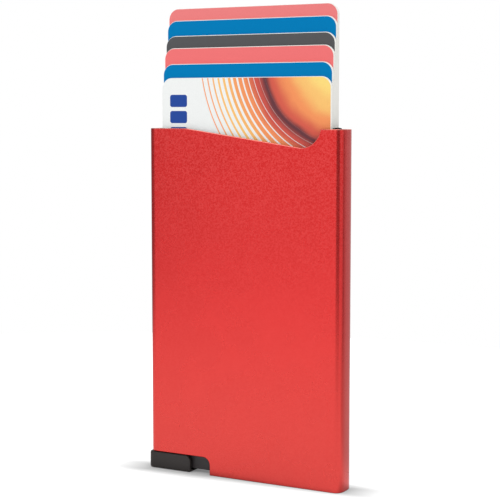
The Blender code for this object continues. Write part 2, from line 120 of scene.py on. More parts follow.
def display(*shown: int) -> Rgb:
    """Turns a colour as a screen shows it into the linear one that a shader takes.

    Args:
        *shown: Red, green and blue, 0 to 255.

    Returns:
        The linear colour.
    """
    full, knee, low_slope, offset, power = 255, 0.04045, 12.92, 0.055, 2.4

    def channel(value: int) -> float:
        """One channel's linear value."""
        share = value / full
        return share / low_slope if share <= knee else ((share + offset) / (1 + offset)) ** power

    return tuple(channel(value) for value in shown)


class Wiring:
    """Adds nodes to one tree and links them."""

    def __init__(self, tree: bpy.types.NodeTree) -> None:
        """Starts on the shader or geometry tree that gets the nodes."""
        self.tree = tree

    def add(self, kind: str, **settings: object) -> bpy.types.Node:
        """Adds a node and sets its properties.

        Args:
            kind: The node's type name.
            **settings: Properties by name.

        Returns:
            The node.
        """
        node = self.tree.nodes.new(kind)
        for name, value in settings.items():
            setattr(node, name, value)
        return node

    def feed(self, socket: Socket, source: Source) -> None:
        """Gives an input a link or a plain value.

        Args:
            socket: The input.
            source: An output to link, or a value.
        """
        if isinstance(source, Socket):
            self.tree.links.new(source, socket)
        else:
            socket.default_value = source

    def math(self, operation: str, *values: Source, clamp: bool = False) -> Socket:
        """Works out one number.

        Args:
            operation: The Math node's operation.
            *values: Its inputs.
            clamp: Whether the result stays between 0 and 1.

        Returns:
            The result's socket.
        """
        node = self.add("ShaderNodeMath", operation=operation, use_clamp=clamp)
        for socket, value in zip(node.inputs, values):
            self.feed(socket, value)
        return node.outputs[0]

    plus = partialmethod(math, "ADD")
    minus = partialmethod(math, "SUBTRACT")
    times = partialmethod(math, "MULTIPLY")
    over = partialmethod(math, "DIVIDE")
    larger = partialmethod(math, "MAXIMUM")
    absolute = partialmethod(math, "ABSOLUTE")

    def length(self, vector: Socket) -> Socket:
        """Works out a vector's length.

        Args:
            vector: The vector's socket.

        Returns:
            The length's socket.
        """
        node = self.add("ShaderNodeVectorMath", operation="LENGTH")
        self.feed(node.inputs[0], vector)
        return node.outputs["Value"]

    def outside(self, past_x: Socket, past_y: Socket) -> Socket:
        """Works out the distance from a rectangle, given how far past its side and end a place is."""
        return self.length(self.combine(self.larger(past_x, 0.0), self.larger(past_y, 0.0), 0.0))

    def combine(self, x: Source = 0.0, y: Source = 0.0, z: Source = 0.0) -> Socket:
        """Makes a vector of three numbers.

        Args:
            x: Along X.
            y: Along Y.
            z: Along Z.

        Returns:
            The vector's socket.
        """
        node = self.add("ShaderNodeCombineXYZ")
        for socket, value in zip(node.inputs, (x, y, z)):
            self.feed(socket, value)
        return node.outputs[0]

    def split(self, vector: Socket) -> tuple[Socket, Socket, Socket]:
        """Takes a vector apart.

        Args:
            vector: The vector's socket.

        Returns:
            Its three numbers' sockets.
        """
        node = self.add("ShaderNodeSeparateXYZ")
        self.feed(node.inputs[0], vector)
        return tuple(node.outputs)

    def span(self, value: Source, start: Source, end: Source, low: Source = 0.0,
             high: Source = 1.0) -> Socket:
        """Maps a number smoothly from one range to another, held at the ends.

        Args:
            value: The number.
            start: Where the range starts.
            end: Where it ends.
            low: The result at the start.
            high: The result at the end.

        Returns:
            The result's socket.
        """
        node = self.add("ShaderNodeMapRange", interpolation_type="SMOOTHSTEP")
        labels = ("Value", "From Min", "From Max", "To Min", "To Max")
        for label, given in zip(labels, (value, start, end, low, high)):
            self.feed(node.inputs[label], given)
        return node.outputs["Result"]

    def mix(self, factor: Source, first: Source, second: Source, blend: str = "MIX") -> Socket:
        """Mixes two colours.

        Args:
            factor: How much of the second.
            first: The first colour.
            second: The second colour.
            blend: The blend type.

        Returns:
            The colour's socket.
        """
        node = self.add("ShaderNodeMix", data_type="RGBA", blend_type=blend)
        inputs = [s for s in node.inputs if s.enabled]
        for socket, value in zip(inputs, (factor, first, second)):
            self.feed(socket, (*value, 1.0) if isinstance(value, tuple) else value)
        return next(s for s in node.outputs if s.enabled)

    def tint(self, colour: Source, red: Socket, green: Socket, blue: Socket) -> Socket:
        """Multiplies each channel of a colour by its own factor."""
        return self.mix(1.0, colour, self.combine(red, green, blue), blend="MULTIPLY")

    def ramp(self, factor: Source, stops: Sequence[tuple[float, Rgb]]) -> Socket:
        """Reads a colour off a row of stops.

        Args:
            factor: Where to read, 0 to 1.
            stops: Places and colours, in order.

        Returns:
            The colour's socket.
        """
        node = self.add("ShaderNodeValToRGB")
        node.color_ramp.interpolation = "EASE"
        elements = node.color_ramp.elements
        while len(elements) < len(stops):
            elements.new(1.0)
        for element, (place, colour) in zip(elements, stops):
            element.position = place
            element.color = (*colour, 1.0)
        self.feed(node.inputs[0], factor)
        return node.outputs["Color"]

    def noise(self, vector: Source, scale: Source, detail: float) -> Socket:
        """Adds noise.

        Args:
            vector: Where to read it.
            scale: How many features to a metre.
            detail: How many finer layers it has.

        Returns:
            Its factor's socket.
        """
        node = self.add("ShaderNodeTexNoise")
        for label, given in (("Vector", vector), ("Scale", scale), ("Detail", detail)):
            self.feed(node.inputs[label], given)
        return node.outputs["Fac"]


class EffectGroup:
    """A shader node group that several finishes place with their own values."""

    def __init__(self, name: str, inputs: Sequence[str], outputs: Sequence[str]) -> None:
        """Makes the empty group with its sockets.

        Args:
            name: The group's name.
            inputs: Number inputs. Every group has a Vector input too.
            outputs: Number outputs.
        """
        self.tree = bpy.data.node_groups.new(name, "ShaderNodeTree")
        face = self.tree.interface
        face.new_socket("Vector", in_out="INPUT", socket_type="NodeSocketVector")
        for way, labels in (("INPUT", inputs), ("OUTPUT", outputs)):
            for label in labels:
                face.new_socket(label, in_out=way, socket_type="NodeSocketFloat")
        self.wiring = Wiring(self.tree)
        self.given = self.wiring.add("NodeGroupInput").outputs
        self.result = self.wiring.add("NodeGroupOutput").inputs

    def place(self, wiring: Wiring, vector: Source, **values: Source) -> bpy.types.NodeOutputs:
        """Places the group in a material.

        Args:
            wiring: The material's wiring.
            vector: Where the effect is read.
            **values: Inputs by name, with _ for a space.

        Returns:
            The group node's outputs.
        """
        node = wiring.add("ShaderNodeGroup", node_tree=self.tree)
        wiring.feed(node.inputs["Vector"], vector)
        for name, value in values.items():
            wiring.feed(node.inputs[name.replace("_", " ").title()], value)
        return node.outputs


def grain_group() -> EffectGroup:
    """Builds the fine grain of a blasted, moulded or laminated surface.

    Returns:
        The group, with the grain's height, and its tone about 1.
    """
    group = EffectGroup("fine_grain", ("Size", "Contrast"), ("Height", "Tone"))
    w = group.wiring
    scale = w.over(1.0, group.given["Size"])
    height = w.noise(group.given["Vector"], scale, detail=1.0)
    w.feed(group.result["Height"], height)
    low = w.minus(1.0, group.given["Contrast"])
    high = w.plus(1.0, group.given["Contrast"])
    narrow_start, narrow_end = 0.3, 0.7
    w.feed(group.result["Tone"], w.span(height, narrow_start, narrow_end, low, high))
    return group


def handling_group() -> EffectGroup:
    """Builds the broad, faint change in gloss that handling leaves.

    Returns:
        The group, with the roughness to add.
    """
    group = EffectGroup("handling_marks", ("Strength",), ("Roughness",))
    w = group.wiring
    mark_size = 12 * MM
    broad = w.noise(group.given["Vector"], 1 / mark_size, detail=4.0)
    start, end = 0.35, 0.7
    strength = group.given["Strength"]
    w.feed(group.result["Roughness"], w.span(broad, start, end, w.times(strength, -1.0), strength))
    return group


def border_group() -> EffectGroup:
    """Builds the mask of a card's printed face, whose rim stays white.

    Returns:
        The group, with 1 inside the print and 0 on the border and the card's edges.
    """
    group = EffectGroup("print_border", ("Half Width", "Half Height", "Corner", "Border"), ("Mask",))
    w = group.wiring
    x, _, z = w.split(group.given["Vector"])
    corner = group.given["Corner"]

    def beyond(place: Socket, half: Socket) -> Socket:
        """How far a place is past the start of the corner's round."""
        inner = w.minus(half, corner)
        return w.minus(w.absolute(place), inner)

    past_x = beyond(x, group.given["Half Width"])
    past_z = beyond(z, group.given["Half Height"])
    inside = w.math("MINIMUM", w.larger(past_x, past_z), 0.0)
    distance = w.minus(w.plus(w.outside(past_x, past_z), inside), corner)
    edge = w.times(group.given["Border"], -1.0)
    softness = 0.05 * MM
    w.feed(group.result["Mask"], w.span(distance, edge, w.minus(edge, softness)))
    return group


@dataclass
class Effects:
    """The shader groups, each built once."""

    grain: EffectGroup = field(default_factory=grain_group)
    handling: EffectGroup = field(default_factory=handling_group)
    border: EffectGroup = field(default_factory=border_group)


@dataclass(frozen=True)
class Finish:
    """A surface finish with grain and handling marks.

    The plain values are set on the shader's own sockets. Grain feeds the bump and the tone, and handling
    feeds the roughness. Where fade gives two heights, the grain grows from fade_low to full between them.
    """

    name: str
    colour: Rgb
    roughness: float
    metallic: float = 0.0
    specular: float = 0.5
    coat: float = 0.0
    grain_size: float = 0.3 * MM
    grain_contrast: float = 0.04
    grain_depth: float = 0.01 * MM
    handling: float = 0.04
    fade: Pair | None = None
    fade_low: float = 0.12

    def base_colour(self, w: Wiring, effects: Effects, place: Socket, tone: Socket) -> Socket:
        """Lays the grain's tone over the one colour of a plain finish, the same at each place."""
        return w.tint(self.colour, tone, tone, tone)

    def material(self, effects: Effects) -> bpy.types.Material:
        """Builds the material.

        Args:
            effects: The shader groups.

        Returns:
            The material.
        """
        material = bpy.data.materials.new(self.name)
        material.use_nodes = True
        material.diffuse_color = (*self.colour, 1.0)
        w = Wiring(material.node_tree)
        shader = material.node_tree.nodes["Principled BSDF"]
        plain = {"Metallic": self.metallic, "Specular IOR Level": self.specular,
                 "Coat Weight": self.coat, "Coat Roughness": self.roughness}
        for label, value in plain.items():
            shader.inputs[label].default_value = value
        place = w.add("ShaderNodeTexCoord").outputs["Object"]
        strength = w.span(w.split(place)[2], *self.fade, self.fade_low) if self.fade else 1.0
        contrast = w.times(strength, self.grain_contrast)
        grain = effects.grain.place(w, place, size=self.grain_size, contrast=contrast)
        w.feed(shader.inputs["Base Color"], self.base_colour(w, effects, place, grain["Tone"]))
        marks = effects.handling.place(w, place, strength=self.handling)
        w.feed(shader.inputs["Roughness"], w.plus(self.roughness, marks["Roughness"], clamp=True))
        bump = w.add("ShaderNodeBump")
        bump.inputs["Distance"].default_value = self.grain_depth
        w.feed(bump.inputs["Strength"], strength)
        w.feed(bump.inputs["Height"], grain["Height"])
        w.feed(shader.inputs["Normal"], bump.outputs["Normal"])
        return material


@dataclass(frozen=True)
class AnodisedFinish(Finish):
    """Dyed oxide over blasted aluminium.

    The grain shows most towards the tube's mouth, and its tone is painted stronger in green and blue
    as pale glints, a painted highlight. Towards the foot the colour carries painted light: paler on the
    tube's faces, and darker on its cut edges as a painted shade along the lower rim. What the metal throws
    on the floor and the cards is greyed, as a room full of white walls would grey it.
    """

    fade: Pair | None = (35 * MM, 110 * MM)
    # Painted light towards the foot: the colour is tinted by these factors between these heights.
    painted_foot_fade: Pair = (5 * MM, 66 * MM)
    painted_foot_tint: Rgb = (1.0, 1.75, 1.5)
    # How strongly the painted glints raise green and blue.
    painted_glint_gain: float = 7.5
    thrown: Rgb = (0.86, 0.83, 0.83)

    def base_colour(self, w: Wiring, effects: Effects, place: Socket, tone: Socket) -> Socket:
        """Works out the dye with painted light at the foot, and the grain's tone with painted glints.

        Args:
            w: The material's wiring.
            effects: The shader groups.
            place: The surface's object coordinates.
            tone: The grain's tone, about 1.

        Returns:
            The colour's socket.
        """
        # Painted light: the colour is tinted towards the foot, paler on the faces and darker on the cut
        # edges.
        share = w.span(w.split(place)[2], *self.painted_foot_fade)
        painted_foot_colour = tuple(value * tint for value, tint in zip(self.colour, self.painted_foot_tint))
        dye_with_foot_light = w.mix(share, painted_foot_colour, self.colour)
        # Painted glints: the grain's tone is raised in green and blue so its pale specks read as sparkle.
        painted_glint = w.plus(w.times(w.minus(tone, 1.0), self.painted_glint_gain), 1.0)
        seen = w.tint(dye_with_foot_light, tone, painted_glint, painted_glint)
        path = w.add("ShaderNodeLightPath").outputs
        return w.mix(path["Is Diffuse Ray"], seen, self.thrown)


@dataclass(frozen=True)
class CardFinish(Finish):
    """One colour printed on white card stock, with a white border and a dark stripe down the back."""

    centre: Place = field(kw_only=True)
    half_width: float = field(kw_only=True)
    half_height: float = field(kw_only=True)
    corner: float = field(kw_only=True)
    border: float = 0.13 * MM
    print_shift: float = -0.1 * MM
    stock: Rgb = display(240, 239, 234)
    stripe_middle: float = -16.2 * MM
    stripe_half: float = 5.2 * MM
    stripe_depth: float = 0.3 * MM
    stripe_colour: Rgb = display(50, 45, 44)

    def stripe(self, w: Wiring, flat: Socket) -> Socket:
        """Finds the stripe on the card's back.

        Args:
            w: The material's wiring.
            flat: The place on the card, from its centre.

        Returns:
            The mask, with 1 on the stripe.
        """
        x, y, _ = w.split(flat)
        away = w.absolute(w.minus(x, self.stripe_middle))
        on_back = w.math("GREATER_THAN", y, self.stripe_depth)
        return w.times(on_back, w.math("LESS_THAN", away, self.stripe_half))

    def printed(self, w: Wiring, flat: Socket) -> Socket | Rgb:
        """Gives the print's colour at a place on the card, here the same all over."""
        return self.colour

    def base_colour(self, w: Wiring, effects: Effects, place: Socket, tone: Socket) -> Socket:
        """Lays the print on the stock, and the grain's tone over both.

        Args:
            w: The material's wiring.
            effects: The shader groups.
            place: The surface's object coordinates.
            tone: The grain's tone, about 1.

        Returns:
            The colour's socket.
        """
        mapping = w.add("ShaderNodeMapping", vector_type="POINT")
        middle = Vector(self.centre) + Vector((self.print_shift, 0.0, 0.0))
        mapping.inputs["Location"].default_value = tuple(-middle)
        w.feed(mapping.inputs["Vector"], place)
        flat = mapping.outputs["Vector"]
        mask = effects.border.place(w, flat, half_width=self.half_width, half_height=self.half_height,
                                    corner=self.corner, border=self.border)
        printed = w.mix(self.stripe(w, flat), self.printed(w, flat), self.stripe_colour)
        return w.tint(w.mix(mask["Mask"], self.stock, printed), tone, tone, tone)


@dataclass(frozen=True)
class PictureFinish(CardFinish):
    """The front card: warm rings that thin out from the upper right, and a row of blue blocks."""

    pitch: float = 1.7 * MM
    thinning: Pair = (22 * MM, 46 * MM)
    last_ring: float = 45.9 * MM
    rings_centre: Pair = (31 * MM, 50 * MM)
    colour_reach: Pair = (4 * MM, 44 * MM)
    block_x: float = -21.4 * MM
    block_top: float = 38.6 * MM
    block_half: Pair = (2.85 * MM, 1.75 * MM)
    block_corner: float = 0.7 * MM
    block_pitch: float = 4.6 * MM
    block_count: int = 16
    paper: Rgb = display(240, 242, 241)
    block_colour: Rgb = display(44, 76, 156)

    def warm_colours(self, w: Wiring, reach: Socket, turn: Socket) -> Socket:
        """Works out the warm colours, which change with the distance from the rings' centre.

        Args:
            w: The material's wiring.
            reach: The distance from the rings' centre.
            turn: The direction from it.

        Returns:
            The colour's socket.
        """
        streak_scale, turn_weight, wobble = 110.0, 0.012, 5 * MM
        streaks = w.noise(w.combine(reach, 0.0, w.times(turn, turn_weight)), streak_scale, detail=3.0)
        shift = w.times(w.minus(streaks, HALF), wobble)
        near, far = self.colour_reach
        share = w.over(w.minus(w.plus(reach, shift), near), far - near, clamp=True)
        return w.ramp(share, (
            (0.00, display(255, 238, 166)),
            (0.16, display(253, 221, 128)),
            (0.28, display(250, 196, 116)),
            (0.40, display(244, 150, 96)),
            (0.49, display(214, 96, 80)),
            (0.55, display(104, 62, 68)),
            (0.62, display(205, 88, 78)),
            (0.72, display(244, 150, 98)),
            (0.86, display(250, 196, 116)),
            (1.00, display(246, 160, 110)),
        ))

    def coverage(self, w: Wiring, reach: Socket) -> Socket:
        """Works out where the rings cover the paper. They widen towards their centre until they join.

        Args:
            w: The material's wiring.
            reach: The distance from the rings' centre.

        Returns:
            A mask, 1 where it is printed.
        """
        cell = w.math("FRACT", w.over(reach, self.pitch))
        from_middle = w.times(w.absolute(w.minus(cell, HALF)), 2.0)
        grown_low, grown_high = 0.2, 1.1
        size = w.span(reach, *self.thinning, grown_high, grown_low)
        softness = 0.1
        shape = w.span(w.minus(size, from_middle), -softness, softness)
        return w.times(shape, w.math("LESS_THAN", reach, self.last_ring))

    def blocks(self, w: Wiring, x: Socket, z: Socket) -> Socket:
        """Works out the mask of a row of plain rounded blocks down the card's left side.

        Args:
            w: The material's wiring.
            x: Place across the card.
            z: Place up the card.

        Returns:
            A mask, 1 on a block.
        """
        inner_x, inner_z = (half - self.block_corner for half in self.block_half)
        down = w.minus(self.block_top, z)
        cell = w.minus(w.math("FLOORED_MODULO", down, self.block_pitch), self.block_pitch / 2)
        past_x = w.minus(w.absolute(w.minus(x, self.block_x)), inner_x)
        past_z = w.minus(w.absolute(cell), inner_z)
        distance = w.minus(w.outside(past_x, past_z), self.block_corner)
        softness = 0.05 * MM
        shape = w.span(distance, softness, -softness)
        length = self.block_pitch * self.block_count
        in_row = w.times(w.math("GREATER_THAN", down, 0.0), w.math("LESS_THAN", down, length))
        return w.times(shape, in_row)

    def printed(self, w: Wiring, flat: Socket) -> Socket:
        """Puts the picture together.

        Args:
            w: The material's wiring.
            flat: The place on the card, from its centre.

        Returns:
            The colour's socket.
        """
        x, _, z = w.split(flat)
        across = w.minus(x, self.rings_centre[0])
        up = w.minus(z, self.rings_centre[1])
        reach = w.length(w.combine(across, 0.0, up))
        warm = self.warm_colours(w, reach, w.math("ARCTAN2", up, across))
        picture = w.mix(self.coverage(w, reach), self.paper, warm)
        return w.mix(self.blocks(w, x, z), picture, self.block_colour)


ANODISED = AnodisedFinish(
    "blasted_red_anodising", (0.76, 0.032, 0.031), roughness=0.27, metallic=1.0, coat=0.45,
    grain_size=0.38 * MM, grain_contrast=0.094, grain_depth=0.013 * MM, handling=0.03)
# The cut edges darken towards the foot: a painted shade along the lower rim.
MACHINED = AnodisedFinish(
    "machined_red_edge", display(246, 140, 128), roughness=0.24, metallic=1.0, grain_size=0.5 * MM,
    grain_contrast=0.02, grain_depth=0.001 * MM, handling=0.02, painted_foot_tint=(0.62, 0.16, 0.16))
LEVER_PLASTIC = Finish(
    "black_moulded_lever", display(37, 30, 28), roughness=0.46, grain_size=0.12 * MM, grain_contrast=0.1,
    grain_depth=0.004 * MM)
BASE_PLASTIC = Finish(
    "dark_grey_moulding", display(52, 47, 48), roughness=0.55, grain_size=0.15 * MM, grain_contrast=0.08,
    grain_depth=0.004 * MM)
ELASTOMER = Finish(
    "black_elastomer", display(24, 22, 22), roughness=0.75, specular=0.3, grain_size=0.1 * MM,
    grain_depth=0.003 * MM)
PIN_STEEL = Finish(
    "ground_steel", display(196, 197, 199), roughness=0.28, metallic=1.0, grain_size=0.08 * MM,
    grain_depth=0.001 * MM)
SPRING_STEEL = Finish(
    "spring_wire", display(170, 170, 174), roughness=0.32, metallic=1.0, grain_size=0.06 * MM,
    grain_depth=0.001 * MM)

PINK = display(240, 118, 119)
BLUE: Rgb = (0.0, 0.2, 0.48)
CARD_PRINTS = (
    (PictureFinish, "picture_print", display(246, 190, 110), Slot.PRINT),
    (CardFinish, "blue_print_front", BLUE, Slot.BLUE),
    (CardFinish, "pink_print_front", PINK, Slot.PINK),
    (CardFinish, "charcoal_print", display(88, 88, 90), Slot.CHARCOAL),
    (CardFinish, "blue_print_back", BLUE, Slot.BLUE),
    (CardFinish, "pink_print_back", display(237, 130, 130), Slot.PINK),
)


def plain_mesh(name: str, bm: bmesh.types.BMesh, *materials: bpy.types.Material) -> bpy.types.Object:
    """Makes an object at the origin from a bmesh.

    Args:
        name: The piece's name.
        bm: The mesh, which is freed.
        *materials: Its materials.

    Returns:
        The object.
    """
    mesh = bpy.data.meshes.new(name)
    bm.to_mesh(mesh)
    bm.free()
    for material in materials:
        mesh.materials.append(material)
    item = bpy.data.objects.new(name, mesh)
    bpy.context.scene.collection.objects.link(item)
    return item


def settle(item: bpy.types.Object) -> bpy.types.Object:
    """Turns a piece and its modifiers into one plain mesh.

    Args:
        item: The piece.

    Returns:
        The same piece.
    """
    bpy.context.view_layer.update()
    depsgraph = bpy.context.evaluated_depsgraph_get()
    mesh = bpy.data.meshes.new_from_object(
        item.evaluated_get(depsgraph), preserve_all_data_layers=True, depsgraph=depsgraph)
    item.modifiers.clear()
    first = item.data
    item.data = mesh
    bpy.data.meshes.remove(first)
    mesh.name = item.name
    return item


def soften(item: bpy.types.Object, width: float, segments: int, slot_index: int = -1) -> bpy.types.Object:
    """Breaks a piece's edges and settles it with even shading.

    Args:
        item: The piece.
        width: How far back each edge is broken.
        segments: Facets across the edge.
        slot_index: The material slot of the broken edges, or -1 for that of the faces beside them.

    Returns:
        The same piece.
    """
    item.data.shade_smooth()
    bevel = item.modifiers.new("broken_edges", "BEVEL")
    bevel.width = width
    bevel.segments = segments
    bevel.limit_method = "ANGLE"
    bevel.angle_limit = BROKEN_FROM
    bevel.material = slot_index
    weighted = item.modifiers.new("even_shading", "WEIGHTED_NORMAL")
    weighted.keep_sharp = True
    return settle(item)


def arc(centre: Pair, radius: float, start: float, end: float, steps: int) -> list[Pair]:
    """Points on a round stretch.

    Args:
        centre: Its centre.
        radius: Its radius.
        start: First angle, in degrees.
        end: Last angle, in degrees.
        steps: How many chords.

    Returns:
        The points, both ends included.
    """
    angles = (math.radians(start + (end - start) * step / steps) for step in range(steps + 1))
    return [(centre[0] + radius * math.cos(a), centre[1] + radius * math.sin(a)) for a in angles]


class ShapeTree:
    """A Geometry Nodes tree with named inputs, that ends in Realize Instances and Set Material."""

    def __init__(self, name: str) -> None:
        """Starts an empty tree.

        Args:
            name: The tree's name.
        """
        self.tree = bpy.data.node_groups.new(name, "GeometryNodeTree")
        self.face = self.tree.interface
        self.face.new_socket("Geometry", in_out="OUTPUT", socket_type="NodeSocketGeometry")
        self.wiring = Wiring(self.tree)
        self.given = self.wiring.add("NodeGroupInput")
        self.identifiers: dict[str, str] = {}

    def input(self, name: str, kind: str = "Float") -> Socket:
        """Adds a named input.

        Args:
            name: The input's name.
            kind: Its socket kind, such as Float, Int or Material.

        Returns:
            Its socket inside the tree.
        """
        socket = self.face.new_socket(name, in_out="INPUT", socket_type=f"NodeSocket{kind}")
        self.identifiers[name] = socket.identifier
        return self.given.outputs[name]

    def node(self, kind: str, inputs: dict[str, Source | list[Socket]] | None = None,
             **settings: object) -> Socket:
        """Adds a geometry node.

        Args:
            kind: Its type name without the GeometryNode in front.
            inputs: Links and values by the input's name, with a list for an input that takes several.
            **settings: Properties by name.

        Returns:
            The socket of its first output.
        """
        node = self.wiring.add(f"GeometryNode{kind}", **settings)
        for label, given in (inputs or {}).items():
            for source in given if isinstance(given, list) else [given]:
                self.wiring.feed(node.inputs[label], source)
        return node.outputs[0]

    def close(self, geometry: Socket, material: Socket) -> None:
        """Ends the tree.

        Args:
            geometry: What it makes.
            material: The material it gets.
        """
        real = self.node("RealizeInstances", {"Geometry": geometry})
        dressed = self.node("SetMaterial", {"Geometry": real, "Material": material})
        self.wiring.feed(self.wiring.add("NodeGroupOutput").inputs[0], dressed)

    def make(self, name: str, **values: object) -> bpy.types.Object:
        """Runs the tree with these values and settles the result into a plain mesh.

        Args:
            name: The piece's name.
            **values: Inputs by name, with _ for a space.

        Returns:
            The piece.
        """
        item = plain_mesh(name, bmesh.new())
        modifier = item.modifiers.new("shape", "NODES")
        modifier.node_group = self.tree
        for label, value in values.items():
            modifier[self.identifiers[label.replace("_", " ").title()]] = value
        return settle(item)


@dataclass
class Holder:
    """What every sub-assembly needs: the frame and the shader groups."""

    frame: dict
    effects: Effects = field(default_factory=Effects)
    materials: dict[str, bpy.types.Material] = field(default_factory=dict)

    def material(self, finish: Finish) -> bpy.types.Material:
        """Gives a finish's material, built once.

        Args:
            finish: The finish.

        Returns:
            The material.
        """
        if finish.name not in self.materials:
            self.materials[finish.name] = finish.material(self.effects)
        return self.materials[finish.name]

    def seat(self, piece: bpy.types.Object, body: str, slot: Slot, node: str) -> None:
        """Puts a finished piece on its body, in place of its CAD node.

        Args:
            piece: The piece.
            body: The body's name.
            slot: The record's material slot. Not used.
            node: The CAD node it stands for.
        """
        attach(piece, body)
        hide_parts(node)
        LOG.info("%s stands for %s on %s, %d faces", piece.name, node, body, len(piece.data.polygons))

    def refine(self, node: str, name: str, finish: Finish, width: float) -> bpy.types.Object:
        """Makes a finer piece from a CAD node: its facets joined and its edges broken.

        Args:
            node: The CAD node.
            name: The piece's name.
            finish: Its finish.
            width: How far back each edge is broken.

        Returns:
            The piece.
        """
        bm = bmesh.new()
        bm.from_mesh(self.frame["nodes"][node].data)
        bmesh.ops.remove_doubles(bm, verts=bm.verts, dist=MERGE_DISTANCE)
        bmesh.ops.dissolve_limit(bm, angle_limit=FLAT_WITHIN, verts=bm.verts, edges=bm.edges)
        return soften(plain_mesh(name, bm, self.material(finish)), width, segments=2)


@dataclass
class Tube:
    """The extruded casing, with its thumb scoop and its lever notch. Sizes are in metres."""

    holder: Holder
    wall: float = 1.0 * MM
    corner: float = 2.6 * MM
    edge_break: float = 0.2 * MM
    scoop_inset: float = 6.5 * MM
    scoop_radius: float = 6.0 * MM
    scoop_depth: float = 5.08 * MM
    scoop_slope: float = 8.0
    scoop_blend: float = 12 * MM
    notch_length: float = 20.35 * MM
    notch_height: float = 5.15 * MM
    notch_corner: float = 2.2 * MM
    side_fullness: float = 2.9
    side_steps: int = 48
    corner_steps: int = 14
    scoop_steps: int = 32
    notch_steps: int = 16

    def __post_init__(self) -> None:
        """Takes the outer size from the frame."""
        low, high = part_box("casing")
        self.half_width, self.half_depth, self.height = high.x, high.y, high.z
        self.notch_right = low.x + self.notch_length

    def scoop(self) -> list[Pair]:
        """Works out the scoop's edge, from where it leaves the rim to where it meets it again.

        Returns:
            Points across and up, from left to right.
        """
        centre = (self.half_width - self.scoop_inset - self.scoop_radius,
                  self.height - self.scoop_depth + self.scoop_radius)
        slope = math.radians(self.scoop_slope)
        turned = centre[1] - self.scoop_radius * math.cos(slope)
        blend_drop = self.scoop_blend * (1 - math.cos(slope))
        slope_run = (self.height - blend_drop - turned) / math.tan(slope)
        blend_x = centre[0] - (self.scoop_radius + self.scoop_blend) * math.sin(slope) - slope_run
        rim = math.degrees(math.asin((self.height - centre[1]) / self.scoop_radius))
        blend = arc((blend_x, self.height - self.scoop_blend), self.scoop_blend, 90, 90 - self.scoop_slope,
                    self.corner_steps)
        return blend + arc(centre, self.scoop_radius, 270 - self.scoop_slope, 360 + rim, self.scoop_steps)

    def wall_outline(self, rim: Sequence[Pair]) -> list[Pair]:
        """Works out the flat of the front or back wall, with the notch below.

        Args:
            rim: Points of the upper rim between its ends, from right to left.

        Returns:
            Points across and up, once round.
        """
        flat_x = self.half_width - self.corner
        centre = (self.notch_right - self.notch_corner, self.notch_height - self.notch_corner)
        notch = arc(centre, self.notch_corner, 90, 0, self.notch_steps)
        lower = [(-flat_x, self.notch_height), *notch, (self.notch_right, 0.0), (flat_x, 0.0)]
        return [*lower, (flat_x, self.height), *rim, (-flat_x, self.height)]

    def narrow_side(self, bm: bmesh.types.BMesh, side: int, bottom: float) -> None:
        """Wraps one narrow side, whose two round corners run into a faintly bowed middle.

        Args:
            bm: The mesh.
            side: -1 for the lever's side, 1 for the other.
            bottom: Where the side's lower edge is.
        """
        power = 2 / self.side_fullness
        columns = []
        for across, deep in arc((0, 0), 1.0, -90, 90, self.side_steps):
            x = side * (self.half_width - self.corner + self.corner * abs(across) ** power)
            y = math.copysign(self.half_depth * abs(deep) ** power, deep)
            columns.append([bm.verts.new((x, y, z)) for z in (bottom, self.height)])
        for near, far in zip(columns, columns[1:]):
            bm.faces.new((near[0], far[0], far[1], near[1]))

    def build(self) -> None:
        """Builds the tube from its outer wall, with its thickness inwards and its cut edges broken."""
        bm = bmesh.new()
        for y, rim in ((-self.half_depth, self.scoop()[::-1]), (self.half_depth, ())):
            bm.faces.new([bm.verts.new((x, y, z)) for x, z in self.wall_outline(rim)])
        self.narrow_side(bm, 1, 0.0)
        self.narrow_side(bm, -1, self.notch_height)
        bmesh.ops.remove_doubles(bm, verts=bm.verts, dist=MERGE_DISTANCE)
        bmesh.ops.recalc_face_normals(bm, faces=bm.faces)
        skin, cut = (self.holder.material(finish) for finish in (ANODISED, MACHINED))
        tube = plain_mesh("anodised_tube", bm, skin, cut)
        solidify = tube.modifiers.new("wall", "SOLIDIFY")
        solidify.thickness = self.wall
        solidify.offset = -1
        solidify.use_even_offset = True
        solidify.material_offset_rim = 1
        soften(tube, self.edge_break, segments=3, slot_index=1)
        self.holder.seat(tube, Body.HOLDER.value, Slot.ANODISED, "casing")


@dataclass
class Insides:
    """The moulded base, the side guides, the ejector and the pins, refined from their CAD nodes."""

    holder: Holder
    edge_break: float = 0.1 * MM
    pin_break: float = 0.12 * MM

    def build(self) -> None:
        """Builds each piece."""
        base, pin = (BASE_PLASTIC, Slot.BASE, self.edge_break), (PIN_STEEL, Slot.PIN, self.pin_break)
        grip = (ELASTOMER, Slot.ELASTOMER, self.edge_break)
        lever = (LEVER_PLASTIC, Slot.LEVER, self.edge_break)
        rows = (
            ("base_front", "base_front_moulding", Body.HOLDER, base),
            ("base_back", "base_back_moulding", Body.HOLDER, base),
            ("side_guide_left", "left_guide", Body.HOLDER, base),
            ("side_guide_right", "right_guide", Body.HOLDER, base),
            ("base_pin_1", "dowel_1", Body.HOLDER, pin),
            ("base_pin_2", "dowel_2", Body.HOLDER, pin),
            ("pivot_pin", "ejector_pivot", Body.HOLDER, pin),
            ("drive_pin", "lever_drive_pin", Body.LEVER, pin),
            ("lever_shoe", "lever_moulding", Body.LEVER, lever),
            ("ejector", "stepped_ejector", Body.EJECTOR, base),
            ("grip_strip_left", "left_grip", Body.HOLDER, grip),
            ("grip_strip_right", "right_grip", Body.HOLDER, grip),
        )
        for node, name, body, (finish, slot, width) in rows:
            piece = self.holder.refine(node, name, finish, width)
            self.holder.seat(piece, body.value, slot, node)


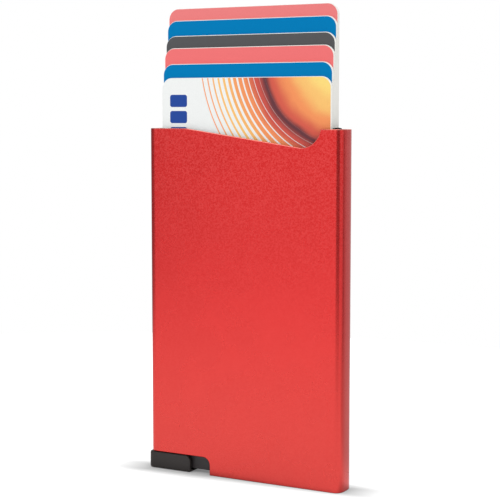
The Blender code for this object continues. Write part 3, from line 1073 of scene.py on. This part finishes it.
@dataclass
class ReturnSpring:
    """The lever's compression spring, wound by Geometry Nodes with closed end turns."""

    holder: Holder
    wire_radius: float = 0.15 * MM
    turns: float = 9.0
    points_per_turn: int = 20
    wire_points: int = 10
    stroke: float = 5.484 * MM

    def tree(self) -> ShapeTree:
        """Builds the tree that winds a spring along X.

        Returns:
            The tree.
        """
        shape = ShapeTree("wound_spring")
        w = shape.wiring
        sizes = ("Start", "Length", "Height", "Radius", "Wire", "Turns")
        start, length, height, radius, wire, turns = (shape.input(name) for name in sizes)
        points = shape.input("Points", "Int")
        material = shape.input("Material", "Material")
        line = shape.node("CurvePrimitiveLine")
        path = shape.node("ResampleCurve", {"Curve": line, "Count": points}, mode="COUNT")
        along = shape.node("SplineParameter")
        angle = w.times(w.times(along, turns), 2 * math.pi)
        rise = w.span(along, 0.0, 1.0)
        spread = 0.55
        eased = w.plus(w.times(along, 1 - spread), w.times(rise, spread))
        run = w.minus(length, w.times(wire, 2.0))
        x = w.plus(w.plus(start, wire), w.times(run, eased))
        y = w.times(radius, w.math("COSINE", angle))
        z = w.plus(height, w.times(radius, w.math("SINE", angle)))
        wound = shape.node("SetPosition", {"Geometry": path, "Position": w.combine(x, y, z)})
        profile = shape.node("CurvePrimitiveCircle", {"Resolution": self.wire_points, "Radius": wire})
        sweep = {"Curve": wound, "Profile Curve": profile, "Fill Caps": True}
        shape.close(shape.node("CurveToMesh", sweep), material)
        return shape

    def build(self) -> None:
        """Winds the spring where the CAD spring lies."""
        low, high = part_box("return_spring")
        length = high.x - low.x
        spring = self.tree().make(
            "wound_return_spring", start=low.x, length=length, height=(low.z + high.z) / 2,
            radius=(high.z - low.z) / 2 - self.wire_radius, wire=self.wire_radius, turns=self.turns,
            points=int(self.turns * self.points_per_turn) + 1, material=self.holder.material(SPRING_STEEL))
        spring.data.shade_smooth()
        self.holder.seat(spring, Body.HOLDER.value, Slot.SPRING, "return_spring")
        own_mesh(spring)


@dataclass
class CardFan:
    """The six cards, all from one Geometry Nodes blank."""

    holder: Holder
    corner: float = 3.18 * MM
    edge_break: float = 0.07 * MM
    corner_points: int = 14

    def tree(self) -> ShapeTree:
        """Builds the tree of one blank: an outline with round corners, filled, and its edge swept round it.

        Returns:
            The tree.
        """
        shape = ShapeTree("card_blank")
        w = shape.wiring
        sizes = ("Width", "Height", "Thickness", "Corner", "Edge Break")
        width, height, thickness, corner, edge = (shape.input(name) for name in sizes)
        points = shape.input("Points", "Int")
        centre = shape.input("Centre", "Vector")
        material = shape.input("Material", "Material")

        def outline(inset: Source) -> Socket:
            """Draws the outline.

            Args:
                inset: How far it is pulled in from the card's edge.

            Returns:
                The curve's socket.
            """
            both = w.times(inset, 2.0)
            sides = {"Width": w.minus(width, both), "Height": w.minus(height, both)}
            square = shape.node("CurvePrimitiveQuadrilateral", sides, mode="RECTANGLE")
            fillet = {"Curve": square, "Radius": w.minus(corner, inset), "Count": points}
            return shape.node("FilletCurve", fillet, mode="POLY")

        face = shape.node("FillCurve", {"Curve": outline(edge)}, mode="NGONS")
        back = shape.node("Transform", {"Geometry": face, "Translation": w.combine(0.0, 0.0, thickness)})
        flipped = shape.node("FlipFaces", {"Mesh": face})

        points_across = 4
        last = points_across - 1
        line = shape.node("MeshLine", {"Count": points_across}, mode="OFFSET")
        index = shape.node("InputIndex")
        is_first, is_last = (w.math("COMPARE", index, float(place), HALF) for place in (0, last))
        second_half = w.math("GREATER_THAN", index, last / 2)
        low_part = w.times(edge, w.minus(1.0, is_first))
        high_part = w.plus(w.minus(thickness, edge), w.times(edge, is_last))
        depth = w.plus(w.times(second_half, high_part), w.times(w.minus(1.0, second_half), low_part))
        across = w.times(w.plus(is_first, is_last), w.times(edge, -1.0))
        corners = {"Geometry": line, "Position": w.combine(across, w.times(depth, -1.0), 0.0)}
        section = shape.node("MeshToCurve", {"Mesh": shape.node("SetPosition", corners)})
        swept = shape.node("CurveToMesh", {"Curve": outline(0.0), "Profile Curve": section})
        rim = shape.node("FlipFaces", {"Mesh": swept})

        seam, upright = 0.01 * MM, (math.pi / 2, 0.0, 0.0)
        parts = shape.node("JoinGeometry", {"Geometry": [flipped, back, rim]})
        shell = shape.node("MergeByDistance", {"Geometry": parts, "Distance": seam})
        stood = {"Geometry": shell, "Translation": centre, "Rotation": upright}
        shape.close(shape.node("Transform", stood), material)
        return shape

    def build(self) -> None:
        """Builds the six cards, each with its own print and on its own body."""
        tree = self.tree()
        for number, (kind, name, colour, slot) in enumerate(CARD_PRINTS, 1):
            node = f"card_{number}"
            low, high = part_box(node)
            size, centre = high - low, (low + high) / 2
            finish = kind(
                name, colour, roughness=0.42, specular=0.03, grain_size=0.25 * MM, grain_contrast=0.012,
                grain_depth=0.0012 * MM, handling=0.05, centre=tuple(centre), half_width=high.x,
                half_height=size.z / 2, corner=self.corner)
            card = tree.make(
                f"printed_card_{number}", width=size.x, height=size.z, thickness=size.y, corner=self.corner,
                edge_break=self.edge_break, points=self.corner_points, centre=(centre.x, high.y, centre.z),
                material=self.holder.material(finish))
            card.data.shade_flat()
            self.holder.seat(card, node, slot, node)


LAMPS_FACE = Vector((0.0, 0.0, 60 * MM))


@dataclass(frozen=True)
class SoftBox:
    """A lamp that faces the holder.

    The azimuth is round from the front in degrees, positive to the right, and the elevation is above the
    horizon. The level is how bright its face looks, where 1 is white.
    """

    name: str
    azimuth: float
    elevation: float
    distance: float
    size: Pair
    level: float

    def hang(self) -> None:
        """Adds the lamp to the scene."""
        around, up = math.radians(self.azimuth), math.radians(self.elevation)
        away = Vector((math.sin(around) * math.cos(up), -math.cos(around) * math.cos(up), math.sin(up)))
        light = bpy.data.lights.new(self.name, "AREA")
        light.shape = "RECTANGLE"
        light.size, light.size_y = self.size
        light.energy = self.level * math.pi * self.size[0] * self.size[1]
        item = bpy.data.objects.new(self.name, light)
        item.location = LAMPS_FACE + away * self.distance
        item.rotation_euler = away.to_track_quat("Z", "Y").to_euler()
        item.visible_camera = False
        bpy.context.scene.collection.objects.link(item)


SOFT_BOXES = (
    SoftBox("overhead_box", azimuth=0, elevation=80, distance=1.2, size=(1.2, 1.2), level=1.75),
    SoftBox("left_wall", azimuth=-18, elevation=20, distance=0.35, size=(0.3, 0.48), level=0.65),
    SoftBox("right_wall", azimuth=88, elevation=20, distance=1.0, size=(1.15, 1.3), level=0.5),
    SoftBox("rear_wall", azimuth=168, elevation=12, distance=1.2, size=(1.9, 1.1), level=0.29),
    SoftBox("rear_glow", azimuth=208, elevation=10, distance=1.2, size=(0.7, 0.5), level=0.8),
)


@dataclass
class Studio:
    """The floor, the lamps, the world and the camera."""

    camera_place: Place = (0.192577, -0.348153, 0.104884)
    camera_yaw: float = 28.878
    camera_pitch: float = 5.623
    lens: float = 101.559
    sensor: float = 36.0
    floor_radius: float = 0.3
    floor_segments: int = 96
    floor_centre: Pair = (-0.03, -0.055)
    ambient_level: float = 0.585
    reflected_level: float = 0.3
    pale: Rgb = (0.9, 0.9, 0.9)
    # Behind the holder the floor is painted darker for all but camera rays: a painted shadow seen in
    # reflections.
    rear_shadow_tone: float = 0.66
    rear_shadow_reach: Pair = (-2 * MM, 45 * MM)
    lift: Pair = (0.3, 0.6)
    lift_reach: Pair = (55 * MM, 160 * MM)
    # A painted contact shadow round the holder's foot, on the floor's colour and on its lift.
    contact_half: Pair = (31 * MM, 2.5 * MM)
    contact_middle: float = -1.6 * MM
    contact_tilt: float = 0.06
    contact_reach: float = 15.2 * MM
    contact_squeeze: float = 3.0
    contact_depth: float = 0.5

    def painted_contact_shadow(self, w: Wiring, place: Socket) -> Socket:
        """Works out the painted shadow on the floor round the holder's foot.

        Args:
            w: The material's wiring.
            place: The floor's object coordinates.

        Returns:
            The share of the floor's colour left by the painted shadow, 1 away from the holder.
        """
        x, y, _ = w.split(place)
        past_x = w.minus(w.absolute(x), self.contact_half[0])
        middle = w.plus(w.times(x, self.contact_tilt), self.contact_middle)
        across = w.absolute(w.minus(y, middle))
        past_y = w.times(w.minus(across, self.contact_half[1]), self.contact_squeeze)
        away = w.over(w.outside(past_x, past_y), self.contact_reach, clamp=True)
        taken = w.times(w.minus(1.0, away), self.contact_depth)
        return w.minus(1.0, taken)

    def pale_surface(self) -> bpy.types.Material:
        """Makes the floor's material: white to the camera, with a painted shadow round the holder's foot.

        Returns:
            The material.
        """
        material = bpy.data.materials.new("pale_floor")
        material.use_nodes = True
        tree = material.node_tree
        tree.nodes.remove(tree.nodes["Principled BSDF"])
        w = Wiring(tree)
        paint = w.add("ShaderNodeBsdfDiffuse")
        glow = w.add("ShaderNodeEmission")
        seen = w.add("ShaderNodeLightPath").outputs["Is Camera Ray"]
        place = w.add("ShaderNodeTexCoord").outputs["Object"]
        # A painted shadow: it darkens the floor's colour for all rays and dims the camera's lift.
        painted_shadow = self.painted_contact_shadow(w, place)
        # Painted shadow behind the holder, kept from the camera but seen in the metal's reflections.
        rear_shadow = w.span(w.split(place)[1], *self.rear_shadow_reach, 1.0, self.rear_shadow_tone)
        tone = w.times(painted_shadow, w.mix(seen, w.combine(rear_shadow, rear_shadow, rear_shadow), WHITE))
        w.feed(paint.inputs["Color"], w.tint(self.pale, tone, tone, tone))
        lift = w.span(w.length(place), *self.lift_reach, *self.lift)
        w.feed(glow.inputs["Strength"], w.times(seen, w.times(lift, painted_shadow)))
        both = w.add("ShaderNodeAddShader")
        w.feed(both.inputs[0], paint.outputs[0])
        w.feed(both.inputs[1], glow.outputs[0])
        w.feed(tree.nodes["Material Output"].inputs["Surface"], both.outputs[0])
        return material

    def floor(self) -> None:
        """Lays the pale floor under the lower rim."""
        bm = bmesh.new()
        bmesh.ops.create_circle(bm, cap_ends=True, radius=self.floor_radius, segments=self.floor_segments)
        bmesh.ops.translate(bm, verts=bm.verts, vec=(*self.floor_centre, 0.0))
        plain_mesh("floor", bm, self.pale_surface())

    def world(self) -> None:
        """Sets the world: white to the camera, even light on the pieces, and dim in their reflections."""
        world = bpy.data.worlds.new("studio")
        bpy.context.scene.world = world
        world.use_nodes = True
        w = Wiring(world.node_tree)
        background = world.node_tree.nodes["Background"]
        path = w.add("ShaderNodeLightPath").outputs
        white = w.times(path["Is Camera Ray"], 1 - self.ambient_level)
        dimmer = w.times(path["Is Glossy Ray"], self.reflected_level - self.ambient_level)
        strength = w.plus(self.ambient_level, w.plus(white, dimmer))
        w.feed(background.inputs["Strength"], strength)
        background.inputs["Color"].default_value = (*WHITE, 1.0)

    def camera(self) -> None:
        """Sets the camera where the photograph was taken from."""
        data = bpy.data.cameras.new("photograph")
        data.lens = self.lens
        data.sensor_width = self.sensor
        camera = bpy.data.objects.new("photograph", data)
        camera.location = self.camera_place
        camera.rotation_euler = (math.radians(90 - self.camera_pitch), 0.0, math.radians(self.camera_yaw))
        bpy.context.scene.collection.objects.link(camera)
        bpy.context.scene.camera = camera

    def build(self) -> None:
        """Sets up the whole studio."""
        self.camera()
        self.floor()
        self.world()
        for box in SOFT_BOXES:
            box.hang()
        bpy.context.scene.view_settings.view_transform = "Standard"


def main() -> None:
    """Loads the frame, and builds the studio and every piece."""
    logging.basicConfig(level=logging.INFO, format="%(name)s: %(message)s")
    for item in list(bpy.data.objects):
        bpy.data.objects.remove(item)
    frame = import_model()
    Studio().build()
    holder = Holder(frame)
    for part in (Tube(holder), Insides(holder), ReturnSpring(holder), CardFan(holder)):
        part.build()
        LOG.info("%s done", type(part).__name__)


if __name__ == "__main__":
    main()
